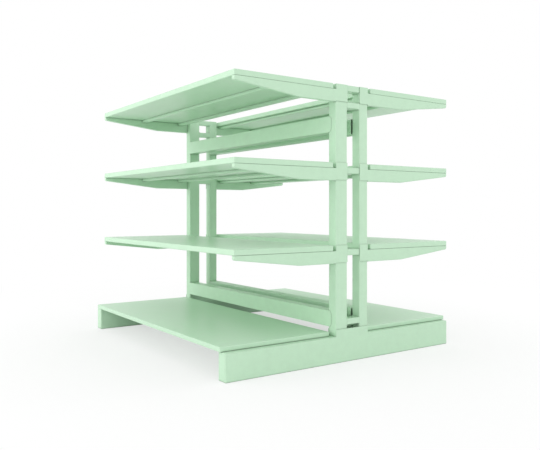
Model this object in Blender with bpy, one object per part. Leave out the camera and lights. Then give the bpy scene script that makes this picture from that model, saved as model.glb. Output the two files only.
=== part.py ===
"""Double-sided cantilever rack, metres, +Z up, origin on the floor under the middle of the rack.

X runs along the rack, the front is -Y and the right-hand frame is +X.
"""

from math import atan2, cos, hypot, pi, sin, tan

import bmesh
import bpy
from mathutils import Matrix, Vector

# Frames
FRAME_PITCH = 1.670
RACK_HEIGHT = 1.500
UPRIGHT_WIDTH = 0.060
FRONT_UPRIGHT_DEPTH = 0.080
BACK_UPRIGHT_DEPTH = 0.060
UPRIGHT_WALL = 0.0023
UPRIGHT_GAP = 0.090
PAIR_OFFSET = 0.014

# Base legs
BASE_LENGTH = 1.580
BASE_HEIGHT = 0.142
CHEEK_RISE = 0.038
PLATE = 0.0032

# Ties between the two uprights of a frame
TIE_HEIGHT = 0.033
TIE_WALL = 0.0023
UPPER_TIE_DROP = 0.091
LEVEL_TIE_DROP = 0.024
FOOT_TIE_RISE = 0.019

# Board levels, measured to the top of the board
MIDDLE_LEVEL = 1.077
LOWER_LEVEL = 0.632

# Boards
BOARD_THICKNESS = 0.030
BOARD_SKIN = 0.0012
BOARD_ROOT_GAP = 0.020
BASE_BOARD_THICKNESS = 0.025
BASE_BOARD_OVERHANG = 0.012

# Stiffening channels under the boards
STIFFENER_WIDTH = 0.040
STIFFENER_DEPTH = 0.016
STIFFENER_WALL = 0.0015
STIFFENER_SETBACK = 0.022
STIFFENER_LEAD = 0.018
STIFFENER_END_GAP = 0.002

# Arms
ARM_LENGTH = 0.720
ARM_WIDTH = 0.025
ARM_ROOT_DROP = 0.097
ARM_KNEE = 0.325
ARM_TIP_HEIGHT = 0.022
ARM_TIP_RADIUS = 0.010
TAB_LENGTH = 0.020
TAB_RISE = 0.006

# Hooks of the arms and rails, and the slots they drop into
HOOK_WIDTH = 0.012
HOOK_NECK = 0.012
HOOK_DROP = 0.010
ARM_HOOK_SPACING = 0.045

# Rails
RAIL_HEIGHT = 0.086
RAIL_DEPTH = 0.070
RAIL_WALL = 0.002
RAIL_CORNER = 0.020
RAIL_LAP = 0.022
RAIL_BOX_GAP = 0.002
UPPER_RAIL_CENTRE = 1.287
LOWER_RAIL_CENTRE = 0.233

# Lugs that locate the base boards
LUG_LENGTH = 0.030
LUG_HEIGHT = 0.012
LUG_INSET = 0.012

# Base bolts
BOLT_DIAMETER = 0.012
BOLT_HEAD_ACROSS = 0.018
BOLT_HEAD_HEIGHT = 0.0075
BOLT_CENTRE = 0.070
NUT_ACROSS = 0.022
NUT_HEIGHT = 0.010

# Fits
CLEAR = 0.0003
BITE = 0.001
ROUND_STEPS = 5
BOLT_SIDES = 16

# Places that follow from the sizes
HALF_WIDTH = UPRIGHT_WIDTH / 2
OUTER = HALF_WIDTH + CLEAR + PLATE
FRAME_X = FRAME_PITCH / 2
RAIL_END = FRAME_X - HALF_WIDTH + RAIL_LAP
RAIL_HOOK_X = RAIL_END - RAIL_LAP / 2
RAIL_BOX_END = FRAME_X - HALF_WIDTH - RAIL_BOX_GAP
PAIR_DEPTH = FRONT_UPRIGHT_DEPTH + UPRIGHT_GAP + BACK_UPRIGHT_DEPTH
PAIR_FRONT = PAIR_OFFSET - PAIR_DEPTH / 2
PAIR_BACK = PAIR_OFFSET + PAIR_DEPTH / 2
CHEEK_TOP = BASE_HEIGHT + CHEEK_RISE
UPRIGHT_FOOT = PLATE + CLEAR

SIDES = {"left": -1, "right": 1}
LEVELS = {"top": RACK_HEIGHT, "middle": MIDDLE_LEVEL, "lower": LOWER_LEVEL}
RAILS = {"upper": UPPER_RAIL_CENTRE, "lower": LOWER_RAIL_CENTRE}


class Face:
    """One face of the rack: the front or the back, with its own upright depth."""

    def __init__(self, name, sign, depth, root):
        self.name = name
        self.sign = sign
        self.depth = depth
        self.root = root

    def y(self, reach):
        """Y of a point at this reach outward from the inner edge of the upright."""
        return self.root + self.sign * reach


FRONT = Face("front", -1, FRONT_UPRIGHT_DEPTH, PAIR_FRONT + FRONT_UPRIGHT_DEPTH)
BACK = Face("back", 1, BACK_UPRIGHT_DEPTH, PAIR_BACK - BACK_UPRIGHT_DEPTH)
FACES = (FRONT, BACK)

# Local axes of a flat outline: its own x and y, then its thickness.
YZ_PLANE = Matrix(((0, 0, 1), (1, 0, 0), (0, 1, 0))).to_4x4()
XZ_PLANE = Matrix(((1, 0, 0), (0, 0, -1), (0, 1, 0))).to_4x4()


def clear_scene():
    for obj in list(bpy.data.objects):
        bpy.data.objects.remove(obj, do_unlink=True)


def new_collection(name):
    collection = bpy.data.collections.new(name)
    bpy.context.scene.collection.children.link(collection)
    return collection


def new_material(name, colour, roughness, metallic):
    material = bpy.data.materials.new(name)
    material.use_nodes = True
    shader = material.node_tree.nodes["Principled BSDF"]
    shader.inputs["Base Color"].default_value = (*colour, 1.0)
    shader.inputs["Roughness"].default_value = roughness
    shader.inputs["Metallic"].default_value = metallic
    material.diffuse_color = (*colour, 1.0)
    return material


def add_box(bm, low, high):
    """A box between two corners, given in any order."""
    low, high = Vector(low), Vector(high)
    size = [abs(b - a) for a, b in zip(low, high)]
    place = Matrix.Translation((low + high) / 2) @ Matrix.Diagonal((*size, 1))
    bmesh.ops.create_cube(bm, size=1, matrix=place)


def add_rod(bm, start, length, diameter, sides, sign):
    """A round or many-sided rod along X from its start, to the side that the sign gives."""
    middle = Vector(start) + Vector((sign * length / 2, 0, 0))
    place = Matrix.Translation(middle) @ Matrix.Rotation(pi / 2, 4, "Y")
    bmesh.ops.create_cone(
        bm, cap_ends=True, segments=sides, radius1=diameter / 2, radius2=diameter / 2,
        depth=length, matrix=place,
    )


def finish_mesh(name, bm):
    bmesh.ops.recalc_face_normals(bm, faces=bm.faces)
    mesh = bpy.data.meshes.new(name)
    bm.to_mesh(mesh)
    bm.free()
    return mesh


def box_mesh(name, boxes):
    bm = bmesh.new()
    for low, high in boxes:
        add_box(bm, low, high)
    return finish_mesh(name, bm)


def outline_mesh(name, points, low, high, plane):
    """A flat outline as a filled 2D curve, extruded between two offsets along its plane's normal."""
    curve = bpy.data.curves.new(name, "CURVE")
    curve.dimensions = "2D"
    curve.fill_mode = "BOTH"
    curve.extrude = abs(high - low) / 2
    spline = curve.splines.new("POLY")
    spline.points.add(len(points) - 1)
    for point, (x, y) in zip(spline.points, points):
        point.co = (x, y, 0, 1)
    spline.use_cyclic_u = True
    sketch = bpy.data.objects.new(name, curve)
    bpy.context.scene.collection.objects.link(sketch)
    bpy.context.view_layer.update()
    graph = bpy.context.evaluated_depsgraph_get()
    flat = bpy.data.meshes.new_from_object(sketch.evaluated_get(graph))
    bm = bmesh.new()
    bm.from_mesh(flat)
    bmesh.ops.remove_doubles(bm, verts=bm.verts, dist=0.00001)
    bmesh.ops.dissolve_limit(bm, angle_limit=0.001, verts=bm.verts, edges=bm.edges)
    bm.transform(plane @ Matrix.Translation((0, 0, (low + high) / 2)))
    bpy.data.objects.remove(sketch, do_unlink=True)
    bpy.data.curves.remove(curve)
    bpy.data.meshes.remove(flat)
    return finish_mesh(name, bm)


def rounded(corner, before, after, radius):
    """Points of an arc that rounds a corner between its two neighbours."""
    corner, before, after = Vector(corner), Vector(before), Vector(after)
    to_before = (before - corner).normalized()
    to_after = (after - corner).normalized()
    half = to_before.angle(to_after) / 2
    bisector = (to_before + to_after).normalized()
    centre = corner + bisector * (radius / sin(half))
    start = corner + to_before * (radius / tan(half)) - centre
    end = corner + to_after * (radius / tan(half)) - centre
    first = atan2(start.y, start.x)
    turn = atan2(start.x * end.y - start.y * end.x, start.dot(end))
    steps = [first + turn * i / ROUND_STEPS for i in range(ROUND_STEPS + 1)]
    return [(centre.x + radius * cos(a), centre.y + radius * sin(a)) for a in steps]


def shaped(mesh, operations, cutters):
    """The mesh after each union or difference in turn. The other meshes go in the cutters collection."""
    body = bpy.data.objects.new(mesh.name, mesh)
    cutters.objects.link(body)
    for operation, other in operations:
        tool = bpy.data.objects.new(other.name, other)
        cutters.objects.link(tool)
        tool.hide_render = True
        tool.display_type = "WIRE"
        modifier = body.modifiers.new(other.name, "BOOLEAN")
        modifier.operation = operation
        modifier.solver = "EXACT"
        modifier.object = tool
    bpy.context.view_layer.update()
    graph = bpy.context.evaluated_depsgraph_get()
    result = bpy.data.meshes.new_from_object(body.evaluated_get(graph))
    result.name = mesh.name
    bpy.data.objects.remove(body, do_unlink=True)
    return result


def place(name, mesh, material, collection, location):
    if not mesh.materials:
        mesh.materials.append(material)
    obj = bpy.data.objects.new(name, mesh)
    obj.location = location
    collection.objects.link(obj)
    return obj


def base_leg_mesh(side, cutters):
    """Closed leg with raised cheeks, open between them. Local origin on the floor under the upright line."""
    half = BASE_LENGTH / 2
    skin = [
        (-half, 0), (half, 0), (half, BASE_HEIGHT), (PAIR_BACK, BASE_HEIGHT), (PAIR_BACK, CHEEK_TOP),
        (PAIR_FRONT, CHEEK_TOP), (PAIR_FRONT, BASE_HEIGHT), (-half, BASE_HEIGHT),
    ]
    inner = half - PLATE
    ceiling = BASE_HEIGHT - PLATE
    mouth = CHEEK_TOP + BITE
    hollow = [
        (-inner, PLATE), (inner, PLATE), (inner, ceiling), (PAIR_BACK + CLEAR, ceiling),
        (PAIR_BACK + CLEAR, mouth), (PAIR_FRONT - CLEAR, mouth), (PAIR_FRONT - CLEAR, ceiling),
        (-inner, ceiling),
    ]
    leg = outline_mesh("base_leg", skin, -OUTER, OUTER, YZ_PLANE)
    inside = HALF_WIDTH + CLEAR
    cavity = outline_mesh("base_cavity", hollow, -inside, inside, YZ_PLANE)
    holes = bmesh.new()
    lugs = bmesh.new()
    for face in FACES:
        middle = face.y(face.depth / 2)
        start = (-side * (inside - BITE), middle, BOLT_CENTRE)
        hole = BOLT_DIAMETER + 2 * CLEAR
        add_rod(holes, start, PLATE + 2 * BITE, hole, BOLT_SIDES, -side)
        board_middle = base_board_middle(face)
        add_box(
            lugs,
            (-side * LUG_INSET, board_middle - LUG_LENGTH / 2, BASE_HEIGHT - BITE),
            (-side * (LUG_INSET + PLATE), board_middle + LUG_LENGTH / 2, BASE_HEIGHT + LUG_HEIGHT),
        )
    return shaped(
        leg,
        [
            ("DIFFERENCE", cavity),
            ("DIFFERENCE", finish_mesh("base_bolt_holes", holes)),
            ("UNION", finish_mesh("base_lugs", lugs)),
        ],
        cutters,
    )


def arm_hook_heights():
    """Heights of the hook necks' undersides, below the board level."""
    middle = -ARM_ROOT_DROP / 2 - HOOK_NECK / 2
    return (middle + ARM_HOOK_SPACING / 2, middle - ARM_HOOK_SPACING / 2)


def upright_mesh(face, side, cutters):
    """Square tube with a closed top, slots for the arm and rail hooks, and a weld nut for the base bolt."""
    near, far = face.y(0), face.y(face.depth)
    tube = box_mesh(
        "upright", [((-HALF_WIDTH, near, UPRIGHT_FOOT), (HALF_WIDTH, far, RACK_HEIGHT))]
    )
    inner = HALF_WIDTH - UPRIGHT_WALL
    bore = box_mesh(
        "upright_bore",
        [(
            (-inner, face.y(UPRIGHT_WALL), UPRIGHT_FOOT - BITE),
            (inner, face.y(face.depth - UPRIGHT_WALL), RACK_HEIGHT - UPRIGHT_WALL),
        )],
    )
    slots = bmesh.new()
    half_slot = HOOK_WIDTH / 2 + CLEAR
    middle = face.y(face.depth / 2)
    slot_rise = HOOK_NECK + HOOK_DROP + CLEAR
    for level in LEVELS.values():
        for height in arm_hook_heights():
            add_box(
                slots,
                (side * (inner - BITE), middle - half_slot, level + height - CLEAR),
                (side * (HALF_WIDTH + BITE), middle + half_slot, level + height + slot_rise),
            )
    hook_x = side * (RAIL_HOOK_X - FRAME_X)
    for centre in RAILS.values():
        height = centre - HOOK_NECK / 2
        add_box(
            slots,
            (hook_x - half_slot, face.y(face.depth - UPRIGHT_WALL - BITE), height - CLEAR),
            (hook_x + half_slot, face.y(face.depth + BITE), height + slot_rise),
        )
    nut = bmesh.new()
    wall_middle = (-side * (HALF_WIDTH - UPRIGHT_WALL / 2), middle, BOLT_CENTRE)
    across = NUT_ACROSS / cos(pi / 6)
    add_rod(nut, wall_middle, NUT_HEIGHT + UPRIGHT_WALL / 2, across, 6, side)
    thread = bmesh.new()
    start = (-side * (HALF_WIDTH + BITE), middle, BOLT_CENTRE)
    depth = UPRIGHT_WALL + NUT_HEIGHT + 2 * BITE
    add_rod(thread, start, depth, BOLT_DIAMETER + 2 * CLEAR, BOLT_SIDES, side)
    return shaped(
        tube,
        [
            ("DIFFERENCE", bore),
            ("DIFFERENCE", finish_mesh("hook_slots", slots)),
            ("UNION", finish_mesh("weld_nut", nut)),
            ("DIFFERENCE", finish_mesh("nut_thread", thread)),
        ],
        cutters,
    )


def tie_mesh(cutters):
    """Short rectangular tube between the two uprights, open at both ends. Local origin at its centre."""
    half = (HALF_WIDTH, UPRIGHT_GAP / 2 - CLEAR, TIE_HEIGHT / 2)
    tube = box_mesh("tie", [([-v for v in half], half)])
    bore = (half[0] - TIE_WALL, half[1] + BITE, half[2] - TIE_WALL)
    return shaped(tube, [("DIFFERENCE", box_mesh("tie_bore", [([-v for v in bore], bore)]))], cutters)


def arm_mesh(face, side, cutters):
    """Tapered box arm, open on top under the board, with a lap plate and two hooks at its root.

    Local origin: middle of the upright's width, inner edge of the upright, top of the board.
    """
    top = -BOARD_THICKNESS - CLEAR
    tip_low = -BOARD_THICKNESS - ARM_TIP_HEIGHT
    knee = (ARM_KNEE, -ARM_ROOT_DROP)
    tip = (ARM_LENGTH, tip_low)
    profile = [
        (0, 0), (face.depth, 0), (face.depth, top), (ARM_LENGTH, top),
        *rounded(tip, (ARM_LENGTH, top), knee, ARM_TIP_RADIUS),
        knee, (0, -ARM_ROOT_DROP),
    ]
    run = ARM_LENGTH - ARM_KNEE
    rise = ARM_ROOT_DROP + tip_low
    lift = PLATE * hypot(run, rise) / run
    inner_knee = (ARM_KNEE - PLATE * rise / (run + hypot(run, rise)), PLATE - ARM_ROOT_DROP)
    inner_tip = (ARM_LENGTH - PLATE, tip_low - PLATE * rise / run + lift)
    over = top + BITE
    root = face.depth - BITE
    pocket = [
        (root, over), (ARM_LENGTH - PLATE, over),
        *rounded(inner_tip, (ARM_LENGTH - PLATE, over), inner_knee, ARM_TIP_RADIUS - PLATE),
        inner_knee, (root, PLATE - ARM_ROOT_DROP),
    ]

    def turned(points):
        return [(face.sign * u, z) for u, z in points]

    inner = OUTER - ARM_WIDTH
    blank = outline_mesh("arm", turned(profile), side * inner, side * OUTER, YZ_PLANE)
    hollow = outline_mesh(
        "arm_hollow", turned(pocket), side * (inner + PLATE), side * (OUTER - PLATE), YZ_PLANE
    )
    notch = box_mesh(
        "upright_notch",
        [(
            (side * (inner - BITE), -face.sign * BITE, -ARM_ROOT_DROP - BITE),
            (side * (OUTER - PLATE), face.sign * (face.depth + CLEAR), BITE),
        )],
    )
    middle = face.sign * face.depth / 2
    wall_inner = HALF_WIDTH - UPRIGHT_WALL - CLEAR
    operations = [("DIFFERENCE", hollow), ("DIFFERENCE", notch)]
    for height in arm_hook_heights():
        hook = outline_mesh(
            "arm_hook",
            [
                (side * (OUTER - PLATE / 2), height), (side * (OUTER - PLATE / 2), height + HOOK_NECK),
                (side * (wall_inner - PLATE), height + HOOK_NECK),
                (side * (wall_inner - PLATE), height - HOOK_DROP),
                (side * wall_inner, height - HOOK_DROP), (side * wall_inner, height),
            ],
            -middle - HOOK_WIDTH / 2, -middle + HOOK_WIDTH / 2, XZ_PLANE,
        )
        operations.append(("UNION", hook))
    tab_middle = tab_place(face)
    tab = box_mesh(
        "board_tab",
        [(
            (side * (inner + CLEAR), face.sign * (tab_middle - TAB_LENGTH / 2), top - TAB_RISE),
            (side * (inner + PLATE - CLEAR), face.sign * (tab_middle + TAB_LENGTH / 2),
             top + CLEAR + BOARD_SKIN + TAB_RISE),
        )],
    )
    operations.append(("UNION", tab))
    return shaped(blank, operations, cutters)


def board_root(face):
    """Reach of a board's inner edge."""
    return face.depth + BOARD_ROOT_GAP


def tab_place(face):
    """Reach of the arm's tab, at the middle of the board's depth."""
    return (board_root(face) + ARM_LENGTH) / 2


def board_mesh(face, cutters):
    """Hollow panel with a slot in its underside for each arm's tab. Local origin: rack middle, board top."""
    half = FRAME_X + OUTER
    near, far = face.y(board_root(face)), face.y(ARM_LENGTH)
    panel = box_mesh("board", [((-half, near, -BOARD_THICKNESS), (half, far, 0))])
    inset = face.sign * BOARD_SKIN
    hollow = box_mesh(
        "board_hollow",
        [(
            (BOARD_SKIN - half, near + inset, BOARD_SKIN - BOARD_THICKNESS),
            (half - BOARD_SKIN, far - inset, -BOARD_SKIN),
        )],
    )
    slots = bmesh.new()
    tab_middle = face.y(tab_place(face))
    web = half - ARM_WIDTH
    for side in SIDES.values():
        add_box(
            slots,
            (side * web, tab_middle - TAB_LENGTH / 2 - CLEAR, -BOARD_THICKNESS - BITE),
            (side * (web + PLATE), tab_middle + TAB_LENGTH / 2 + CLEAR, BOARD_SKIN + BITE - BOARD_THICKNESS),
        )
    return shaped(
        panel, [("DIFFERENCE", hollow), ("DIFFERENCE", finish_mesh("tab_slots", slots))], cutters
    )


def stiffener_mesh():
    """Channel with its open side up against the board. Local origin: rack middle, middle of its top."""
    half = FRAME_X + OUTER - ARM_WIDTH - STIFFENER_END_GAP
    wide, wall = STIFFENER_WIDTH / 2, STIFFENER_WALL
    section = [
        (-wide, 0), (-wide, -STIFFENER_DEPTH), (wide, -STIFFENER_DEPTH), (wide, 0), (wide - wall, 0),
        (wide - wall, wall - STIFFENER_DEPTH), (wall - wide, wall - STIFFENER_DEPTH), (wall - wide, 0),
    ]
    return outline_mesh("stiffener", section, -half, half, YZ_PLANE)


def stiffener_places(face):
    """Reach of the middle of each channel: just outside the board's middle, and near its inner edge."""
    return {
        "centre": (board_root(face) + ARM_LENGTH) / 2 + STIFFENER_LEAD,
        "rear": board_root(face) + STIFFENER_SETBACK + STIFFENER_WIDTH / 2,
    }


def base_board_root(face):
    return face.y(board_root(face))


def base_board_edge(face):
    return face.sign * (BASE_LENGTH / 2 + BASE_BOARD_OVERHANG)


def base_board_middle(face):
    return (base_board_root(face) + base_board_edge(face)) / 2


def base_board_mesh(face, cutters):
    """Hollow panel with a slot in its underside for the lug of each leg. Local origin: rack middle, underside."""
    near, far = base_board_root(face), base_board_edge(face)
    panel = box_mesh("base_board", [((-FRAME_X, near, 0), (FRAME_X, far, BASE_BOARD_THICKNESS))])
    inset = face.sign * BOARD_SKIN
    hollow = box_mesh(
        "base_board_hollow",
        [(
            (BOARD_SKIN - FRAME_X, near + inset, BOARD_SKIN),
            (FRAME_X - BOARD_SKIN, far - inset, BASE_BOARD_THICKNESS - BOARD_SKIN),
        )],
    )
    slots = bmesh.new()
    half_slot = LUG_LENGTH / 2 + CLEAR
    for side in SIDES.values():
        add_box(
            slots,
            (side * (FRAME_X - LUG_INSET + CLEAR), base_board_middle(face) - half_slot, -BITE),
            (side * (FRAME_X - LUG_INSET - PLATE - CLEAR), base_board_middle(face) + half_slot,
             BOARD_SKIN + BITE),
        )
    return shaped(
        panel, [("DIFFERENCE", hollow), ("DIFFERENCE", finish_mesh("lug_slots", slots))], cutters
    )


def rail_outline():
    long, high = RAIL_END, RAIL_HEIGHT / 2
    corners = [(-long, -high), (long, -high), (long, high), (-long, high)]
    points = []
    for i, corner in enumerate(corners):
        points += rounded(corner, corners[i - 1], corners[(i + 1) % 4], RAIL_CORNER)
    return points


def rail_section(name, outer, inner, half_height, half_length):
    """A straight block of the rail's box, between two offsets from the upright's outer face."""
    corners = [(outer, -half_height), (outer, half_height), (inner, half_height), (inner, -half_height)]
    return outline_mesh(name, corners, -half_length, half_length, YZ_PLANE)


def rail_mesh(face, cutters):
    """Box between the frames, open at its ends. Its face laps over the uprights, with a hook at each end.

    Local origin: rack middle, outer face of the upright, middle of the rail's height.
    """
    near, far = face.sign * CLEAR, face.sign * (CLEAR + RAIL_WALL)
    plate = outline_mesh("rail", rail_outline(), -near, -far, XZ_PLANE)
    back = far - face.sign * RAIL_DEPTH
    high = RAIL_HEIGHT / 2 - CLEAR
    box = rail_section("rail_box", far - face.sign * RAIL_WALL / 2, back, high, RAIL_BOX_END)
    hollow = rail_section(
        "rail_hollow", 0, back + face.sign * RAIL_WALL, high - RAIL_WALL, RAIL_BOX_END + BITE
    )
    operations = [("UNION", box), ("DIFFERENCE", hollow)]
    wall_inner = -face.sign * (UPRIGHT_WALL + CLEAR)
    hook_end = wall_inner - face.sign * PLATE
    low, high = -HOOK_NECK / 2, HOOK_NECK / 2
    for side in SIDES.values():
        middle = side * RAIL_HOOK_X
        hook = outline_mesh(
            "rail_hook",
            [
                (far - face.sign * RAIL_WALL / 2, low), (far - face.sign * RAIL_WALL / 2, high),
                (hook_end, high), (hook_end, low - HOOK_DROP), (wall_inner, low - HOOK_DROP),
                (wall_inner, low),
            ],
            middle - HOOK_WIDTH / 2, middle + HOOK_WIDTH / 2, YZ_PLANE,
        )
        operations.append(("UNION", hook))
    return shaped(plate, operations, cutters)


def bolt_mesh(side, cutters):
    """Hex bolt along X. Local origin: middle of the upright's width, on the bolt's axis."""
    shoulder = -side * (OUTER + CLEAR)
    head = bmesh.new()
    add_rod(head, (shoulder, 0, 0), BOLT_HEAD_HEIGHT, BOLT_HEAD_ACROSS / cos(pi / 6), 6, -side)
    shank = bmesh.new()
    length = CLEAR + PLATE + CLEAR + UPRIGHT_WALL + NUT_HEIGHT + BOLT_HEAD_HEIGHT / 2
    start = shoulder - side * BOLT_HEAD_HEIGHT / 2
    add_rod(shank, (start, 0, 0), length, BOLT_DIAMETER, BOLT_SIDES, side)
    return shaped(
        finish_mesh("base_bolt", head), [("UNION", finish_mesh("bolt_shank", shank))], cutters
    )


def main():
    clear_scene()
    rack = new_collection("double_sided_cantilever_rack")
    cutters = new_collection("cutters")
    green = (0.515, 0.738, 0.539)
    paint = {
        kind: new_material(kind + "_paint", green, 0.45, 0.0)
        for kind in ("base", "upright", "tie", "arm", "board", "stiffener", "base_board", "rail")
    }
    zinc = new_material("bolt_zinc", (0.62, 0.63, 0.64), 0.35, 1.0)

    tie_heights = {
        "top": RACK_HEIGHT,
        "upper": RACK_HEIGHT - UPPER_TIE_DROP,
        "middle": MIDDLE_LEVEL - LEVEL_TIE_DROP,
        "lower": LOWER_LEVEL - LEVEL_TIE_DROP,
        "foot": CHEEK_TOP + FOOT_TIE_RISE + TIE_HEIGHT,
    }
    tie = tie_mesh(cutters)
    tie_y = (FRONT.y(0) + BACK.y(0)) / 2
    stiffener = stiffener_mesh()

    for side_name, side in SIDES.items():
        x = side * FRAME_X
        place("base_leg_" + side_name, base_leg_mesh(side, cutters), paint["base"], rack, (x, 0, 0))
        for name, height in tie_heights.items():
            place(f"tie_{name}_{side_name}", tie, paint["tie"], rack, (x, tie_y, height - TIE_HEIGHT / 2))
        bolt = bolt_mesh(side, cutters)
        for face in FACES:
            label = f"{face.name}_{side_name}"
            place("upright_" + label, upright_mesh(face, side, cutters), paint["upright"], rack, (x, 0, 0))
            place("base_bolt_" + label, bolt, zinc, rack, (x, face.y(face.depth / 2), BOLT_CENTRE))
            arm = arm_mesh(face, side, cutters)
            for level_name, level in LEVELS.items():
                name = f"arm_{face.name}_{level_name}_{side_name}"
                place(name, arm, paint["arm"], rack, (x, face.root, level))

    for face in FACES:
        board = board_mesh(face, cutters)
        for level_name, level in LEVELS.items():
            label = f"{face.name}_{level_name}"
            place("board_" + label, board, paint["board"], rack, (0, 0, level))
            under = level - BOARD_THICKNESS - CLEAR
            for spot, reach in stiffener_places(face).items():
                name = f"stiffener_{label}_{spot}"
                place(name, stiffener, paint["stiffener"], rack, (0, face.y(reach), under))
        tray = base_board_mesh(face, cutters)
        place("base_board_" + face.name, tray, paint["base_board"], rack, (0, 0, BASE_HEIGHT + CLEAR))
        rail = rail_mesh(face, cutters)
        for rail_name, centre in RAILS.items():
            name = f"rail_{face.name}_{rail_name}"
            place(name, rail, paint["rail"], rack, (0, face.y(face.depth), centre))


main()
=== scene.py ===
"""Looks of the double-sided cantilever rack: folded steel under pale green powder coat, in a white studio.

Every piece stands for one CAD node and lies where that node lies, in metres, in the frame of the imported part.
"""

import logging
from dataclasses import dataclass, field
from enum import Enum, auto
from functools import cached_property, reduce
from itertools import chain, product
from math import cos, pi, radians
from typing import ClassVar, Iterable, Iterator

import bmesh
import bpy
from mathutils import Matrix, Vector

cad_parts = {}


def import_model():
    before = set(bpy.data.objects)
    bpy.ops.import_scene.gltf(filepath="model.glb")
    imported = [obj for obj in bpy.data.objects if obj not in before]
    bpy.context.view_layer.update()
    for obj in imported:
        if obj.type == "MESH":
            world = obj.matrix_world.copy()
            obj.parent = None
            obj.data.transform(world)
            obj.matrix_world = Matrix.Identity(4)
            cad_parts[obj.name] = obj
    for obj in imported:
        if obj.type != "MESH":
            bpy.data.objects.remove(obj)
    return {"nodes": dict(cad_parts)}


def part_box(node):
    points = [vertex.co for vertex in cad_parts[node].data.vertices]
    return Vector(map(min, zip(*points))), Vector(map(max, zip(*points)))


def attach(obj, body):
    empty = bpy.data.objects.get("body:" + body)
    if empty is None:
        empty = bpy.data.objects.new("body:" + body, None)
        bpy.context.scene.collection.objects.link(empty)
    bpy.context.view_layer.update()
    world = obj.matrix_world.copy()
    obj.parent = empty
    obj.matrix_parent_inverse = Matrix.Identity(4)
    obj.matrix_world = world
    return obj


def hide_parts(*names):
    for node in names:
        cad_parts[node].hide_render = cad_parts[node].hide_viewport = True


log = logging.getLogger("cantilever_rack")

FOLD = "fold"
BODY = "root"
LENGTHWAYS = Vector((1.0, 0.0, 0.0))
CROSSWAYS = Vector((0.0, 1.0, 0.0))
UP = Vector((0.0, 0.0, 1.0))
DOWN = Vector((0.0, 0.0, -1.0))
WHITE = (1.0, 1.0, 1.0, 1.0)
ROUND_SIDES = 24
HEX = 6
SHARP_ANGLE = radians(50.0)
# The cosine from which two directions count as the same.
STRAIGHT = 0.999
# How close to a face, in metres, a point lies on it.
TOUCH = 0.00001
# The range that most of a noise falls in, and the middle of it.
MOST_NOISE = (0.3, 0.7)
MEAN_NOISE = 0.5

Colour = tuple[float, float, float]
Span = tuple[float, float]
Socket = bpy.types.NodeSocket
Inputs = dict[str | int, object]
Edges = list[bmesh.types.BMEdge]
Faces = list[bmesh.types.BMFace]


@dataclass(frozen=True)
class Stock:
    """The sizes that more than one kind of piece shares."""

    plate: float = 0.0032
    plate_fold: float = 0.0045
    tube_wall: float = 0.0023
    tube_corner: float = 0.005
    seam_depth: float = 0.0007
    fit: float = 0.0003
    bolt_hole: float = 0.0126
    arm_width: float = 0.025
    tab_length: float = 0.020
    lug_inset: float = 0.012
    lug_length: float = 0.030


STOCK = Stock()


class Place(Enum):
    """A place on the rack, whose name is a word in the names of its nodes."""

    @property
    def label(self) -> str:
        """The word for it in a node's name."""
        return self.name.lower()


class Face(Place):
    """A face of the rack, with the sign of its outward direction along Y."""

    FRONT = -1
    BACK = 1


class Side(Place):
    """An end of the rack, with the sign of its outward direction along X."""

    LEFT = -1
    RIGHT = 1


class Level(Place):
    """A board level, from the top down."""

    TOP = auto()
    MIDDLE = auto()
    LOWER = auto()


class Channel(Place):
    """A stiffening channel under a board."""

    CENTRE = auto()
    REAR = auto()


class RailRow(Place):
    """A rail of one face."""

    UPPER = auto()
    LOWER = auto()


class TieRow(Place):
    """A tie of one frame, from the top down."""

    TOP = auto()
    UPPER = auto()
    MIDDLE = auto()
    LOWER = auto()
    FOOT = auto()


class Slot(Enum):
    """A material slot of the record."""

    FRAME = "frame_paint"
    BOARD = "board_paint"
    BOLT = "bolt_zinc"


class Wiring:
    """A node tree that is being wired up."""

    def __init__(self, tree: bpy.types.NodeTree) -> None:
        """Keeps the tree and empties it."""
        self.tree = tree
        self.tree.nodes.clear()

    def node(self, kind: str, inputs: Inputs | None = None, **settings: object) -> bpy.types.Node:
        """Adds a node.

        Args:
            kind: The node's type name.
            inputs: Values or sockets for its inputs, by name or number.
            settings: Properties of the node itself.

        Returns:
            The new node.
        """
        made = self.tree.nodes.new(kind)
        for name, value in settings.items():
            setattr(made, name, value)
        for name, value in (inputs or {}).items():
            if isinstance(value, Socket):
                self.tree.links.new(value, made.inputs[name])
            else:
                made.inputs[name].default_value = value
        return made

    def maths(self, operation: str, first: object, second: object) -> Socket:
        """The result of a sum on two values or sockets."""
        return self.node("ShaderNodeMath", {0: first, 1: second}, operation=operation).outputs[0]

    def times(self, *shares: object) -> Socket:
        """The product of some values or sockets."""
        return reduce(lambda so_far, share: self.maths("MULTIPLY", so_far, share), shares)

    def mix(self, share: object, first: object, second: object) -> Socket:
        """The colour between two colours at a share from 0 to 1."""
        return self.node("ShaderNodeMix", {0: share, 6: first, 7: second}, data_type="RGBA").outputs[2]

    def spread(self, value: object, start: Span, end: Span = (0.0, 1.0)) -> Socket:
        """A value moved from one range to another and held inside it."""
        ends = dict(zip(("From Min", "From Max", "To Min", "To Max"), (*start, *end)))
        return self.node("ShaderNodeMapRange", {"Value": value, **ends}).outputs["Result"]

    def noise(self, position: object, scale: object, detail: float, roughness: float = 0.5) -> Socket:
        """A noise value from 0 to 1 at a position."""
        settings = {"Vector": position, "Scale": scale, "Detail": detail, "Roughness": roughness}
        return self.node("ShaderNodeTexNoise", settings).outputs["Fac"]

    def effect(self, kind: type["Effect"], inputs: Inputs) -> bpy.types.Node:
        """A shared effect, made at its first use and placed in this tree with its own values."""
        tree = bpy.data.node_groups.get(kind.__name__) or kind().tree
        return self.node("ShaderNodeGroup", inputs, node_tree=tree)


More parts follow.
